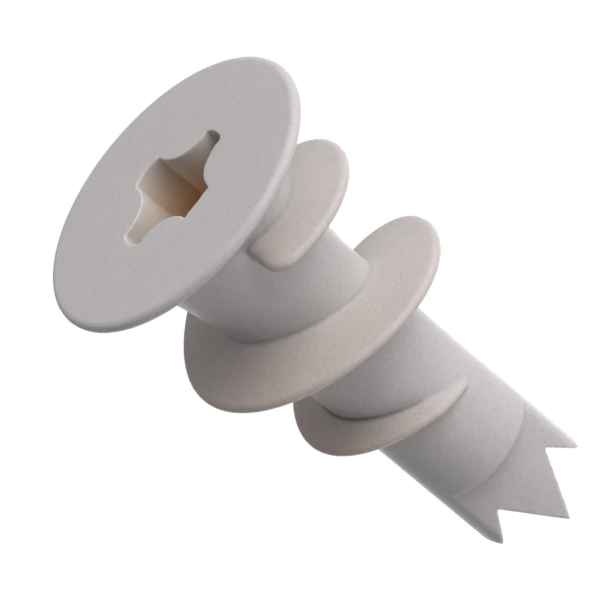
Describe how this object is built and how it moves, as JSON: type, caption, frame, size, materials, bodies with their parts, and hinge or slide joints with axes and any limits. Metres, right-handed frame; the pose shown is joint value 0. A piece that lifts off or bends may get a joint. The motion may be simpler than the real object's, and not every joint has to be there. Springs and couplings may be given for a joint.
{
  "type": "self-drilling plasterboard anchor",
  "caption": "One-piece nylon plasterboard anchor with a flat round head, cross recess, coarse thread and a toothed blade tip that drills its own hole.",
  "frame": {"origin": "centre of the head's face, which lies on z = 0; the anchor stands on its head", "axes": "+Z along the anchor's axis from the head's face to the toothed tip, -Y the front that the picture shows, X across the blade"},
  "size_m": [0.0126, 0.0126, 0.0222],
  "materials": {
    "nylon": "satin"
  },
  "bodies": {
    "root": {"anchor": "nylon"}
  },
  "joints": []
}
